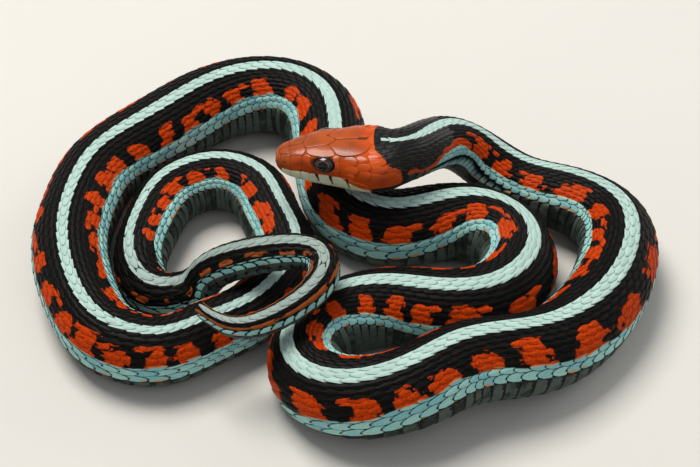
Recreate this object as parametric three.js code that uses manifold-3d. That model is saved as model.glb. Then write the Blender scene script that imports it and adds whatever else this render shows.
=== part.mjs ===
// A garter snake at rest in a loose coil, with its head laid over its own back.
// Millimetres, +Z up, the floor at z = 0. Its centre line is drawn from the snout to the
// tail tip, so along the line the animal's right side lies to the left.
import * as THREE from 'three';
import { mergeVertices } from 'three/addons/utils/BufferGeometryUtils.js';
import Module from 'manifold-3d';

const wasm = await Module();
wasm.setup();

// Driving dimensions.
const HEAD_LENGTH = 24.5; // snout to the back of the jaws
const HEAD_LEAN = THREE.MathUtils.degToRad(6); // the crown leans toward the right side
const EYE_DIAMETER = 4.3;
const EYE_BEHIND_SNOUT = 9.1;
const EYE_OFF_MIDLINE = 3.75;
const EYE_HEIGHT = 1.5;
const NOSTRIL_DIAMETER = 0.9;
const NOSTRIL_AT = [1.9, 3.15, 0.95]; // behind the snout, off the midline, up
const JAW_LENGTH = 19; // snout to the corner of the mouth
const JAW_INSET = 0.95; // the lower jaw closes a little inside the upper lips
const BELLY_DEPTH = 0.92; // centre line to the flat of the belly, as a share of the radius
const GAP = 0.3; // between neighbours
const BODY_SIDES = 18;
const RING_STEP = 3.4;
const TIP_LENGTH = 0.8; // point of the tail beyond its last ring
const HEAD_SIDES = 28;
const HEAD_RING_STEP = 1.0;
const NAPE_ALLOWANCE = 2; // the head is made this much longer, then cut square to the neck

// The route of the animal, named length by length. Each point pulls a smooth line and
// holds x, y, the height of the belly above the floor, and the half width of the body.
// A length begins at its first point, and the neck begins where the head ends.
const ROUTE = [
  ['head', [[-14.5, -0.5, 15.7, 5.7], [-5, -0.5, 15.7, 5.7], [3, -0.5, 15.7, 5.7]]],
  ['neck', [[10, -1, 16.3, 5.3], [17.5, 9, 13.3, 5.3], [25, 12.5, 6, 5.6]]],
  ['body_1', [[34, 7, 0.5, 6.1], [43.5, 2.5, 1.5, 6.8], [51, -2, 0, 7.4]]],
  ['body_2', [[53, -11, 0.5, 7.9], [50, -21.5, 0, 7.9], [45, -30, 0, 7.9], [38, -37.5, 0, 7.8]]],
  ['body_3', [[29, -41.5, 2.5, 7.8], [19.5, -43, 3, 7.8], [12.5, -49, 3, 7.7], [1.5, -51.5, 2, 7.6],
    [-7.5, -46, 0, 7.3]]],
  ['body_4', [[-9, -37, 0, 7.2], [-3, -29, 0, 7.3], [7, -25.5, 0, 7.5], [15.5, -27, 0, 7.6],
    [26.5, -27, 0, 7.6], [33.5, -18.5, 0, 7.7]]],
  ['body_5', [[32, -8.5, 0, 7.7], [24, -3, 0, 7.8], [15, -4.5, 0, 7.8], [7, -6.5, 0, 7.7]]],
  ['body_6', [[-2, -1, 0, 7.7], [-3.5, 10.5, 0, 7.9], [-4, 17.5, 0, 8.1], [-5.5, 28, 0, 8.2]]],
  ['body_7', [[-13, 34.5, 0, 8.2], [-23, 34.5, 0, 8.2], [-31.5, 30, 0, 8.2], [-38, 23.5, 0, 8.2]]],
  ['body_8', [[-45.5, 17, 0, 8.1], [-51.5, 10, 0, 8], [-53.5, 0.5, 0, 7.9], [-55, -9, 0, 7.8]]],
  ['body_9', [[-53.5, -18, 0, 7.6], [-50, -27, 0, 7.3], [-45.5, -35, 0, 7]]],
  ['body_10', [[-34.5, -38.5, 0, 6.6], [-27, -32, 0, 6.4], [-19, -28.5, 0, 6.2],
    [-14, -20, 0, 6.1]]],
  ['tail_1', [[-10.5, -11.5, 0, 6.2], [-16, -2.5, 0, 6.2], [-17.5, 7, 0, 6.2]]],
  ['tail_2', [[-27, 11.5, 0, 6.3], [-37, 6, 0, 6.2]]],
  ['tail_3', [[-39, -2.5, 0, 5.9], [-42, -12.5, 0, 5.4], [-38.5, -22.5, 0, 4.6]]],
  ['tail_4', [[-28, -20.5, 1.5, 4.1], [-27, -21, 8.5, 3.9]]],
  ['tail_5', [[-13.5, -23.5, 16, 3.6], [-4, -24, 16, 3.4]]],
  ['tail_6', [[-4.5, -34.5, 17, 2.9], [-19, -42.5, 14, 2.4], [-25.5, -37.5, 15, 1.5]]],
];

// The head by its distance behind the snout: half width, crown and chin from the centre line.
const HEAD_FORM = [
  [0, 0.9, 1.3, 0], [0.5, 2, 1.9, -1.2], [1.3, 2.8, 2.5, -2.1], [2.6, 3.5, 3, -2.9],
  [4.4, 4.2, 3.6, -3.4], [6.5, 4.9, 4.1, -3.9], [8.7, 5.5, 4.4, -4.2], [11, 6.1, 4.6, -4.5],
  [13.5, 6.8, 4.8, -4.7], [16, 7.5, 4.9, -4.9], [18.5, 7.9, 4.9, -5], [21, 7.5, 4.9, -5],
  [23, 6.5, 5, -4.9], [24.5, 5.6, 5, -4.9],
];
const CROWN_SQUARENESS = 2.8; // exponents of the rounded sections
const THROAT_SQUARENESS = 2.3;

// Swellings and hollows on both sides of the head: distance behind the snout, degrees above
// the centre line, how far the surface moves, and the reach along and around the head.
const HEAD_RELIEF = [
  [9.2, 42, 0.4, 2.6, 13], // brow ridge over the eye
  [5.2, 12, -0.35, 1.6, 18], // hollow in front of the eye
  [7, -22, 0.18, 6, 9], // upper lip
  [16.5, -8, 0.3, 3.5, 22], // jaw muscle
];

// The line of the mouth: distance behind the snout, and height.
const MOUTH_LINE = [[-3, -0.8], [0, -1], [1.3, -1.4], [4.4, -2], [9, -2.4], [14, -2.8], [17.5, -2.7], [20, -2.2]];

const COLOURS = {
  head: '#b4471f',
  lower_jaw: '#c8c7ab',
  eye: '#17110c',
  neck: '#1b1c1a',
  body: '#1f2322',
  tail: '#2b2a26',
};

const group = new THREE.Group();
group.name = 'garter_snake';

// Value of a table of [x, value, ...] rows at x, drawn as a smooth curve through the rows.
function tableValue(table, x, column) {
  const last = table.length - 1;
  if (x <= table[0][0]) return table[0][column];
  if (x >= table[last][0]) return table[last][column];
  const row = table.findIndex((entry) => entry[0] > x) - 1;
  const slope = (i) => {
    const before = table[Math.max(i - 1, 0)];
    const after = table[Math.min(i + 1, last)];
    return (after[column] - before[column]) / (after[0] - before[0]);
  };
  const span = table[row + 1][0] - table[row][0];
  const t = (x - table[row][0]) / span;
  const rise = t * t * (3 - 2 * t);
  return table[row][column] * (1 - rise) + table[row + 1][column] * rise
    + span * slope(row) * t * (1 - t) ** 2 - span * slope(row + 1) * t * t * (1 - t);
}

const controls = ROUTE.flatMap(([, points]) => points);

// Control point by number, continued straight past both ends.
function control(index) {
  const last = controls.length - 1;
  if (index < 0) return controls[0].map((value, k) => 2 * value - controls[1][k]);
  if (index > last) return controls[last].map((value, k) => 2 * value - controls[last - 1][k]);
  return controls[index];
}

// The smooth line at u, where u counts the control points: [x, y, lift, half width].
function routeAt(u) {
  const first = Math.min(Math.floor(u), controls.length - 2);
  const f = u - first;
  const weights = [
    (1 - f) ** 3 / 6,
    (3 * f ** 3 - 6 * f ** 2 + 4) / 6,
    (-3 * f ** 3 + 3 * f ** 2 + 3 * f + 1) / 6,
    f ** 3 / 6,
  ];
  return [0, 1, 2, 3].map((k) => weights.reduce((sum, w, j) => sum + w * control(first - 1 + j)[k], 0));
}

// Length along the line from the snout, sampled finely enough for millimetres.
const SAMPLES_PER_POINT = 40;
const lengths = [0];
for (let i = 1; i <= (controls.length - 1) * SAMPLES_PER_POINT; i += 1) {
  const a = routeAt((i - 1) / SAMPLES_PER_POINT);
  const b = routeAt(i / SAMPLES_PER_POINT);
  lengths.push(lengths[i - 1] + Math.hypot(b[0] - a[0], b[1] - a[1], b[2] - a[2]));
}
const ROUTE_LENGTH = lengths[lengths.length - 1];

function parameterAt(distance) {
  const found = lengths.findIndex((value) => value > distance);
  const i = found < 0 ? lengths.length - 1 : Math.max(found, 1);
  const t = (distance - lengths[i - 1]) / (lengths[i] - lengths[i - 1]);
  return (i - 1 + t) / SAMPLES_PER_POINT;
}

// Place and directions at a distance behind the snout: along the body, to the line's left, up.
function frameAt(distance) {
  const u = parameterAt(distance);
  const step = 0.02;
  const [x, y, lift, radius] = routeAt(u);
  const before = routeAt(Math.max(u - step, 0));
  const after = routeAt(Math.min(u + step, controls.length - 1));
  const along = new THREE.Vector3(after[0] - before[0], after[1] - before[1], after[2] - before[2]).normalize();
  const side = new THREE.Vector3(0, 0, 1).cross(along).normalize();
  const up = along.clone().cross(side);
  const centre = new THREE.Vector3(x, y, lift + BELLY_DEPTH * radius);
  return { centre, along, side, up, radius };
}

// A closed solid through rings of equal count, each end closed onto one middle point.
function solidThroughRings(rings, firstMiddle, lastMiddle) {
  const sides = rings[0].length;
  const points = [...rings.flat(), firstMiddle, lastMiddle];
  const faces = [];
  const front = points.length - 2;
  const back = points.length - 1;
  for (let j = 0; j < sides; j += 1) {
    const k = (j + 1) % sides;
    faces.push(front, k, j);
    for (let i = 0; i < rings.length - 1; i += 1) {
      const a = i * sides;
      const b = a + sides;
      faces.push(a + j, a + k, b + k, a + j, b + k, b + j);
    }
    const rim = (rings.length - 1) * sides;
    faces.push(back, rim + j, rim + k);
  }
  const geometry = new THREE.BufferGeometry();
  geometry.setAttribute('position', new THREE.Float32BufferAttribute(points.flatMap((p) => p.toArray()), 3));
  geometry.setIndex(faces);
  return geometry;
}

// Round section with a flat belly.
function bodyRing(distance) {
  const { centre, side, up, radius } = frameAt(distance);
  const ring = [];
  for (let j = 0; j < BODY_SIDES; j += 1) {
    const angle = (2 * Math.PI * j) / BODY_SIDES - Math.PI / 2;
    const height = Math.max(Math.sin(angle), -BELLY_DEPTH) * radius;
    ring.push(centre.clone().addScaledVector(side, Math.cos(angle) * radius).addScaledVector(up, height));
  }
  return ring;
}

function bodyLength(start, end) {
  const count = Math.max(2, Math.round((end - start) / RING_STEP));
  const rings = [];
  for (let i = 0; i <= count; i += 1) {
    rings.push(bodyRing(start + ((end - start) * i) / count));
  }
  const tail = frameAt(end);
  const lastMiddle = tail.centre.clone();
  if (end === ROUTE_LENGTH) lastMiddle.addScaledVector(tail.along, TIP_LENGTH);
  return solidThroughRings(rings, frameAt(start).centre, lastMiddle);
}

// How far the relief moves the surface of the head at one place.
function relief(distance, angle) {
  const degrees = THREE.MathUtils.radToDeg(Math.asin(Math.sin(angle)));
  return HEAD_RELIEF.reduce((sum, [at, height, out, reachAlong, reachAround]) => {
    const along = (distance - at) / reachAlong;
    const around = (degrees - height) / reachAround;
    return sum + out * Math.exp(-along * along - around * around);
  }, 0);
}

// The head in its own directions: x behind the snout, y to the right side, z up.
function headRing(distance) {
  const half = tableValue(HEAD_FORM, distance, 1);
  const crown = tableValue(HEAD_FORM, distance, 2);
  const chin = tableValue(HEAD_FORM, distance, 3);
  const middle = (crown + chin) / 2;
  const ring = [];
  for (let j = 0; j < HEAD_SIDES; j += 1) {
    const angle = (2 * Math.PI * j) / HEAD_SIDES - Math.PI / 2;
    const c = Math.cos(angle);
    const s = Math.sin(angle);
    const power = 2 / (s > 0 ? CROWN_SQUARENESS : THROAT_SQUARENESS);
    const y = half * Math.sign(c) * Math.abs(c) ** power;
    const z = middle + ((crown - chin) / 2) * Math.sign(s) * Math.abs(s) ** power;
    const out = relief(distance, angle) / Math.hypot(y, z - middle);
    ring.push(new THREE.Vector3(distance, y * (1 + out), middle + (z - middle) * (1 + out)));
  }
  return ring;
}

function headWhole() {
  const distances = [0, 0.25, 0.6];
  for (let d = 1.1; d < HEAD_LENGTH - HEAD_RING_STEP / 2; d += HEAD_RING_STEP) distances.push(d);
  distances.push(HEAD_LENGTH + NAPE_ALLOWANCE);
  const rings = distances.map(headRing);
  const middle = (HEAD_FORM[0][2] + HEAD_FORM[0][3]) / 2;
  const back = new THREE.Vector3(HEAD_LENGTH + NAPE_ALLOWANCE, 0, 0);
  return solidThroughRings(rings, new THREE.Vector3(-0.1, 0, middle), back);
}

function toSolid(geometry) {
  const bare = geometry.clone();
  bare.deleteAttribute('normal');
  bare.deleteAttribute('uv');
  const merged = mergeVertices(bare, 1e-5);
  return new wasm.Manifold(new wasm.Mesh({
    numProp: 3,
    vertProperties: Float32Array.from(merged.attributes.position.array),
    triVerts: Uint32Array.from(merged.index.array),
  }));
}

function toGeometry(solid) {
  const parts = solid.decompose();
  const largest = parts.reduce((best, part) => (part.volume() > best.volume() ? part : best));
  const mesh = largest.getMesh();
  const geometry = new THREE.BufferGeometry();
  geometry.setAttribute('position', new THREE.BufferAttribute(Float32Array.from(mesh.vertProperties), 3));
  geometry.setIndex(Array.from(mesh.triVerts));
  return geometry;
}

// Everything below the line of the mouth, from before the snout to its corner, moved by a
// margin up and back.
function mouthBlock(margin) {
  const outline = new THREE.Shape();
  const front = -3;
  const under = -9;
  const corner = JAW_LENGTH + margin;
  outline.moveTo(front, under);
  outline.lineTo(corner, under);
  for (let d = corner; d > front; d -= 1) outline.lineTo(d, tableValue(MOUTH_LINE, d, 1) + margin);
  outline.lineTo(front, tableValue(MOUTH_LINE, front, 1) + margin);
  const block = new THREE.ExtrudeGeometry(outline, { depth: 24, bevelEnabled: false });
  return toSolid(block.translate(0, 0, -12).rotateX(Math.PI / 2));
}

// Everything behind the plane where the neck begins, in the head's own directions.
function neckBlock(placement) {
  const { centre, along, side, up } = frameAt(HEAD_LENGTH - GAP / 2);
  const size = 30;
  const block = new THREE.BoxGeometry(size, size, size).translate(size / 2, 0, 0);
  const atNeck = new THREE.Matrix4().makeBasis(along, side, up).setPosition(centre);
  return toSolid(block.applyMatrix4(placement.clone().invert().multiply(atNeck)));
}

function ball(diameter, place, across = 20) {
  return new THREE.SphereGeometry(diameter / 2, across, Math.round(across * 0.7)).translate(...place);
}

function eyePlace(side) {
  return [EYE_BEHIND_SNOUT, side * EYE_OFF_MIDLINE, EYE_HEIGHT];
}

// The head's own directions in the room, with the crown leaning to one side.
function headPlacement() {
  const { centre, along, side, up } = frameAt(0);
  const crown = up.clone().multiplyScalar(Math.cos(HEAD_LEAN)).addScaledVector(side, Math.sin(HEAD_LEAN));
  const right = crown.clone().cross(along);
  return new THREE.Matrix4().makeBasis(along, right, crown).setPosition(centre);
}

function addPart(name, geometry, colour, roughness) {
  const mesh = new THREE.Mesh(geometry, new THREE.MeshStandardMaterial({ color: colour, roughness, metalness: 0 }));
  mesh.name = name;
  group.add(mesh);
  return mesh;
}

function addHead() {
  const placement = headPlacement();
  const whole = toSolid(headWhole()).subtract(neckBlock(placement));
  const upper = [-1, 1].reduce((solid, side) => {
    const socket = toSolid(ball(EYE_DIAMETER + 2 * GAP, eyePlace(side)));
    const [back, out, up] = NOSTRIL_AT;
    const nostril = toSolid(ball(NOSTRIL_DIAMETER, [back, side * out, up], 8));
    return solid.subtract(socket).subtract(nostril);
  }, whole.subtract(mouthBlock(GAP / 2)));
  const jaw = toGeometry(whole.intersect(mouthBlock(-GAP / 2))).scale(1, JAW_INSET, 1);
  addPart('head', toGeometry(upper).applyMatrix4(placement), COLOURS.head, 0.45);
  addPart('lower_jaw', jaw.applyMatrix4(placement), COLOURS.lower_jaw, 0.5);
  addPart('eye_left', ball(EYE_DIAMETER, eyePlace(-1)).applyMatrix4(placement), COLOURS.eye, 0.1);
  addPart('eye_right', ball(EYE_DIAMETER, eyePlace(1)).applyMatrix4(placement), COLOURS.eye, 0.1);
}

// Neck, body and tail, each length from its first point to the next length's.
function addLengths() {
  let pointNumber = ROUTE[0][1].length;
  let start = HEAD_LENGTH;
  for (const [name, points] of ROUTE.slice(1)) {
    pointNumber += points.length;
    const last = pointNumber >= controls.length;
    const end = last ? ROUTE_LENGTH : lengths[pointNumber * SAMPLES_PER_POINT];
    const kind = name.split('_')[0];
    addPart(name, bodyLength(start + GAP / 2, last ? end : end - GAP / 2), COLOURS[kind], 0.55);
    start = end;
  }
}

addHead();
addLengths();

// The origin lies on the floor under the middle of the coil.
const extent = new THREE.Box3().setFromObject(group);
const middle = extent.getCenter(new THREE.Vector3());
group.position.set(-middle.x, -middle.y, -extent.min.z);

export default group;
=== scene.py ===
"""A garter snake lying in a loose coil with its head laid over its own back."""

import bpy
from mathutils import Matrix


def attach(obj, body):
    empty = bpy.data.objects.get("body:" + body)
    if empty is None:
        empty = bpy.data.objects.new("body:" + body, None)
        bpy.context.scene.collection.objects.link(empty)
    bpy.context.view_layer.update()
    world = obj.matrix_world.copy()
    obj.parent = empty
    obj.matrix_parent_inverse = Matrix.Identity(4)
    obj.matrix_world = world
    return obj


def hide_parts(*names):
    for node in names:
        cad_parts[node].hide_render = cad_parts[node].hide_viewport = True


bl_info = {
    "name": "Garter snake",
    "version": (1, 0, 0),
    "blender": (4, 5, 0),
    "location": "View3D > Sidebar > Snake",
    "description": "Builds a coiled garter snake with its scales, head plates and eyes",
    "category": "Object",
}

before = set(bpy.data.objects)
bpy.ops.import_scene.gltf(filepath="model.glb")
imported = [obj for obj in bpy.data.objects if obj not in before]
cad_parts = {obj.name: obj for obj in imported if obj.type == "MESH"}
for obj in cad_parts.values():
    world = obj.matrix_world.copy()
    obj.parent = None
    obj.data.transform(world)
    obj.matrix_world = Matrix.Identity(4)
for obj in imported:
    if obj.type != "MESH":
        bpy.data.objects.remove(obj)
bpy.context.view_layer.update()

import itertools
import math

import bpy
import numpy as np
from bpy.props import FloatProperty, FloatVectorProperty, PointerProperty
from mathutils import Matrix, Vector

MM = 0.001

# The animal's own line, in millimetres: x, y, height of the belly, half width of the body,
# and how far the back leans to the line's left, in degrees. The points pull a smooth line.
ROUTE_SHIFT = (1.148, 7.781)
ROUTE = [
    # head
    (-14.5, -0.5, 15.7, 5.7, 6), (-5, -0.5, 15.7, 5.7, 6), (3, -0.5, 15.7, 5.7, 5),
    # neck
    (10, -1, 16.3, 5.3, -21), (17.5, 9, 13.3, 5.3, -5), (25, 12.5, 6, 5.6, 10),
    # round the right side
    (34, 7, 0.5, 6.1, 19), (43.5, 2.5, 1.5, 6.8, 18), (51, -2, 0, 7.4, 15),
    (53, -11, 0.5, 7.9, 15), (50, -21.5, 0, 7.9, 16), (45, -30, 0, 7.9, 9), (38, -37.5, 0, 7.8, -6),
    # near band
    (29, -41.5, 2.5, 7.8, -10), (19.5, -43, 3, 7.8, -5), (12.5, -49, 3, 7.7, -7),
    (1.5, -51.5, 2, 7.6, 9), (-7.5, -46, 0, 7.3, 24),
    # left turn and middle band
    (-9, -37, 0, 7.2, 34), (-3, -29, 0, 7.3, 20), (7, -25.5, 0, 7.5, 1), (15.5, -27, 0, 7.6, -5),
    (26.5, -27, 0, 7.6, -5), (33.5, -18.5, 0, 7.7, -16),
    # right turn and the band behind it
    (32, -8.5, 0, 7.7, -30), (24, -3, 0, 7.8, -9), (15, -4.5, 0, 7.8, 4), (7, -6.5, 0, 7.7, 5),
    # under the head and round the far loop
    (-2, -1, 0, 7.7, 1), (-3.5, 10.5, 0, 7.9, -5), (-4, 17.5, 0, 8.1, -8), (-5.5, 28, 0, 8.2, -9),
    (-13, 34.5, 0, 8.2, -4), (-23, 34.5, 0, 8.2, 1), (-31.5, 30, 0, 8.2, 4), (-38, 23.5, 0, 8.2, 5),
    # round the left side
    (-45.5, 17, 0, 8.1, 6), (-51.5, 10, 0, 8, 0), (-53.5, 0.5, 0, 7.9, -7), (-55, -9, 0, 7.8, -5),
    (-53.5, -18, 0, 7.6, -8), (-50, -27, 0, 7.3, -11), (-45.5, -35, 0, 7, -6),
    (-34.5, -38.5, 0, 6.6, -3), (-27, -32, 0, 6.4, -10), (-19, -28.5, 0, 6.2, -8),
    (-14, -20, 0, 6.1, -16),
    # inner coil
    (-10.5, -11.5, 0, 6.2, -13), (-16, -2.5, 0, 6.2, -21), (-17.5, 7, 0, 6.2, -9),
    (-27, 11.5, 0, 6.3, -7), (-37, 6, 0, 6.2, -13),
    (-39, -2.5, 0, 5.9, -27), (-42, -12.5, 0, 5.4, -24), (-38.5, -22.5, 0, 4.6, -8),
    # tail, lifted over the coil
    (-28, -20.5, 1.5, 4.1, 0), (-27, -21, 8.5, 3.9, 0), (-13.5, -23.5, 16, 3.6, 0), (-4, -24, 16, 3.4, 0),
    (-4.5, -34.5, 17, 2.9, 0), (-19, -42.5, 14, 2.4, 0), (-25.5, -37.5, 15, 1.5, 0),
]
# Height of the centre line over the belly against the half width there.
BELLY_DEPTH = 0.92
# The head's own lean in degrees, where the tail begins behind the snout, and how far the
# rounded tip reaches past the line's end.
HEAD_LEAN = 6.0
VENT = 497.0
TIP_LENGTH = 0.8

# The head by its distance behind the snout: half width, crown and chin from the centre line.
HEAD_FORM = np.array([
    (0, 0.9, 1.3, 0), (0.5, 2, 1.9, -1.2), (1.3, 2.8, 2.5, -2.1), (2.6, 3.5, 3, -2.9),
    (4.4, 4.2, 3.6, -3.4), (6.5, 4.9, 4.1, -3.9), (8.7, 5.5, 4.4, -4.2), (11, 6.1, 4.6, -4.5),
    (13.5, 6.8, 4.8, -4.7), (16, 7.5, 4.9, -4.9), (18.5, 7.9, 4.9, -5), (21, 7.5, 4.9, -5),
    (23, 6.5, 5, -4.9), (24.5, 5.6, 5, -4.9),
])
# The line of the mouth: distance behind the snout and height from the centre line.
MOUTH_LINE = np.array([
    (-3, -0.8), (0, -1), (1.3, -1.4), (4.4, -2), (9, -2.4), (14, -2.8), (17.5, -2.7), (20, -2.2),
])
# Powers of the rounded squares that the cross-sections are; 2 would be an ellipse.
CROWN_SQUARENESS = 2.8
BACK_SQUARENESS = 2.0
THROAT_SQUARENESS = 2.3
BELLY_SQUARENESS = 2.3
# The lower jaw: where it ends behind the snout, and its width against the upper lips'.
JAW_LENGTH = 19.0
JAW_INSET = 0.95
# Brow ridge, hollow before the eye, lip and jaw muscle: distance behind the snout, degrees
# above the centre line, outward, reach along, reach around.
HEAD_RELIEF = [
    (9.2, 42, 0.4, 2.6, 13), (5.2, 12, -0.35, 1.6, 18), (7, -22, 0.18, 6, 9), (16.5, -8, 0.3, 3.5, 22),
]
# Stretches behind the snout over which the head's form passes into the body's, the line's own
# lean sets in, the head's stiff lean ends, and the turn in bends sets in.
FORM_CHANGE = (21.0, 28.0)
LEAN_CHANGE = (20.0, 28.0)
STIFF_CHANGE = (26.0, 46.0)
BEND_CHANGE = (26.0, 40.0)

# Openings in the side of the head: distance behind the snout, degrees from the crown,
# radius, and millimetres to a degree there.
EYE_OPENING = (9.5, 63.0, 2.15, 0.105)
NOSTRIL_OPENING = (1.95, 66.0, 0.36, 0.06)
# Half depth of the flattened ball, how far it stands out of its opening, and its height
# against the opening's.
EYE_HALF_DEPTH = 1.5
EYE_BULGE = 0.95
EYE_FILL = 1.04

# Degrees that each row of scales takes up, from beside the row along the middle of the back
# down to the flank, and half of what that middle row takes up.
ROW_WIDTHS = (8.0, 8.0, 8.0, 8.1, 8.2, 8.5, 9.0, 10.0, 13.2)
MIDDLE_ROW = 4.5
# Lower edge of the rows, in degrees from the middle of the back, on the body and the tail's tip.
FLANK_EDGE = MIDDLE_ROW + sum(ROW_WIDTHS)
TAIL_EDGE = 104.0
# Where the body bends, the belly and flanks turn toward the inside of the bend by this many
# degrees for a bend whose radius is the body's half width; at FULL_TURN degrees from the
# middle of the back they turn in full.
BEND_TURN = 27.0
FULL_TURN = 110.0
# How far the coat's roots lie under the body's surface, where scales are FULL_PITCH apart.
COAT_DEPTH = 0.26
FULL_PITCH = 2.5
# How far the skin and the cheek scales lie under the surface of the head.
HEAD_SINK = 0.16
# Where the rows of scales begin behind the snout, and where their scales become keeled.
COAT_START = 18.4
NAPE_END = 33.0
# The unrolled sheet that every scale and plate has a place on.
UNWRAP_STRIPS = 4
UNWRAP_PER_MM = 0.005
PATCH_LENGTH = 0.0060
PATCH_WIDTH = 0.0034
SEED = 7


def smooth_step(low, high, value):
    """Zero below low, one above high, and an even rise between them."""
    t = np.clip((value - low) / (high - low), 0.0, 1.0)
    return t * t * (3.0 - 2.0 * t)


def between(value, rise_from, rise_to, fall_from, fall_to):
    """One between a rise and a fall, and zero outside them."""
    return smooth_step(rise_from, rise_to, value) * (1 - smooth_step(fall_from, fall_to, value))


def half_turn(degrees):
    """Any angle brought between -180 and 180."""
    return (np.asarray(degrees, dtype=float) + 180.0) % 360.0 - 180.0


def grid(rows, columns):
    return np.meshgrid(rows, columns, indexing="ij")


def table_value(table, x, column):
    """A table of (x, value, ...) rows read as one smooth curve through the rows."""
    xs = table[:, 0]
    ys = table[:, column]
    slopes = np.empty(len(xs))
    slopes[1:-1] = (ys[2:] - ys[:-2]) / (xs[2:] - xs[:-2])
    slopes[0] = (ys[1] - ys[0]) / (xs[1] - xs[0])
    slopes[-1] = (ys[-1] - ys[-2]) / (xs[-1] - xs[-2])
    x = np.clip(x, xs[0], xs[-1])
    row = np.clip(np.searchsorted(xs, x, side="right") - 1, 0, len(xs) - 2)
    span = xs[row + 1] - xs[row]
    t = (x - xs[row]) / span
    rise = t * t * (3 - 2 * t)
    curved = span * slopes[row] * t * (1 - t) ** 2 - span * slopes[row + 1] * t * t * (1 - t)
    return ys[row] * (1 - rise) + ys[row + 1] * rise + curved


class BodyLine:
    """The animal's centre line with its width and lean, read by distance behind the snout."""

    SAMPLES_PER_POINT = 40
    # samples of the line that its bend is averaged over
    BEND_SAMPLES = 101

    def __init__(self):
        points = np.array(ROUTE, dtype=float)
        points[:, :2] += ROUTE_SHIFT
        count = len(points)
        ends = np.vstack([2 * points[0] - points[1], points, 2 * points[-1] - points[-2]])
        number = np.linspace(0, count - 1, (count - 1) * self.SAMPLES_PER_POINT + 1)
        first = np.minimum(number.astype(int), count - 2)
        f = (number - first)[:, None]
        weights = ((1 - f) ** 3 / 6, (3 * f ** 3 - 6 * f ** 2 + 4) / 6,
                   (-3 * f ** 3 + 3 * f ** 2 + 3 * f + 1) / 6, f ** 3 / 6)
        line = sum(w * ends[first + k] for k, w in enumerate(weights))
        steps = np.linalg.norm(np.diff(line[:, :3], axis=0), axis=1)
        self.distance = np.concatenate([[0.0], np.cumsum(steps)])
        self.length = self.distance[-1]
        self.radius = line[:, 3]
        self.lean = line[:, 4]
        self.centre = line[:, :3].copy()
        self.centre[:, 2] += BELLY_DEPTH * self.radius
        along = np.gradient(line[:, :3], self.distance, axis=0)
        self.along = along / np.linalg.norm(along, axis=1)[:, None]
        side = np.cross([0.0, 0.0, 1.0], self.along)
        self.side = side / np.linalg.norm(side, axis=1)[:, None]
        self.up = np.cross(self.along, self.side)
        turn = np.gradient(np.unwrap(np.arctan2(self.along[:, 1], self.along[:, 0])), self.distance)
        even = np.ones(self.BEND_SAMPLES) / self.BEND_SAMPLES
        self.bend = np.convolve(turn * self.radius, even, mode="same")

    def read(self, values, s):
        """One of the line's values at each distance."""
        if values.ndim == 1:
            return np.interp(s, self.distance, values)
        return np.stack([np.interp(s, self.distance, values[:, k]) for k in range(3)], axis=-1)


LINE = BodyLine()


def mouth_height(s):
    """Height of the line of the mouth from the centre line."""
    return table_value(MOUTH_LINE, s, 1)


def section(s, around):
    """Place in the body's cross-section, sideways and up, at degrees around from the crown."""
    radius = LINE.read(LINE.radius, s)
    head = 1.0 - smooth_step(*FORM_CHANGE, s)
    half = table_value(HEAD_FORM, s, 1) * head + radius * (1 - head)
    crown = table_value(HEAD_FORM, s, 2) * head + radius * (1 - head)
    chin = table_value(HEAD_FORM, s, 3) * head - BELLY_DEPTH * radius * (1 - head)
    crown_power = 2 / (CROWN_SQUARENESS * head + BACK_SQUARENESS * (1 - head))
    throat_power = 2 / (THROAT_SQUARENESS * head + BELLY_SQUARENESS * (1 - head))
    angle = np.radians(around)
    c = np.cos(angle)
    sn = np.sin(angle)
    power = np.where(c > 0, crown_power, throat_power)
    middle = (crown + chin) / 2 * head
    reach = np.where(c > 0, crown - middle, middle - chin)
    y = half * np.sign(sn) * np.abs(sn) ** power
    z = reach * np.sign(c) * np.abs(c) ** power
    y, z = head_relief(s, y, z, c, head)
    z = z + middle
    # the lower jaw closes inside the upper lips, with a crease along the mouth
    below = mouth_height(s) - z
    jaw = head * (1 - smooth_step(JAW_LENGTH - 2.5, JAW_LENGTH, s))
    y = y * (1 - (1 - JAW_INSET) * jaw * smooth_step(-0.1, 0.25, below))
    return y, z


def head_relief(s, y, z, c, head):
    """Swells or hollows the head at each place of its relief."""
    height = np.degrees(np.arcsin(np.clip(c, -1, 1)))
    swell = np.zeros_like(y)
    for at, angle, out, reach_along, reach_around in HEAD_RELIEF:
        swell = swell + out * np.exp(-((s - at) / reach_along) ** 2 - ((height - angle) / reach_around) ** 2)
    grow = 1 + head * swell / np.maximum(np.hypot(y, z), 0.5)
    return y * grow, z * grow


def place(s, around):
    """Point on the body's surface at a distance behind the snout and degrees around the back."""
    s = np.asarray(s, dtype=float)
    around = np.asarray(around, dtype=float)
    inside = np.clip(s, 0.0, LINE.length)
    rigid = HEAD_LEAN * (1 - smooth_step(*STIFF_CHANGE, inside))
    own = smooth_step(*LEAN_CHANGE, inside)
    slide = LINE.read(LINE.lean, inside) * own + HEAD_LEAN * (1 - own) - rigid
    roll = BEND_TURN * LINE.read(LINE.bend, inside) * smooth_step(*BEND_CHANGE, inside)
    roll = roll * smooth_step(0.0, FULL_TURN, np.abs(half_turn(around)))
    y, z = section(inside, around + slide - roll)
    lean = np.radians(rigid)
    sideways = y * np.cos(lean) + z * np.sin(lean)
    upward = z * np.cos(lean) - y * np.sin(lean)
    point = LINE.read(LINE.centre, inside)
    point = point + LINE.read(LINE.side, inside) * sideways[..., None]
    point = point + LINE.read(LINE.up, inside) * upward[..., None]
    return point + LINE.read(LINE.along, inside) * (s - inside)[..., None]


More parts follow.
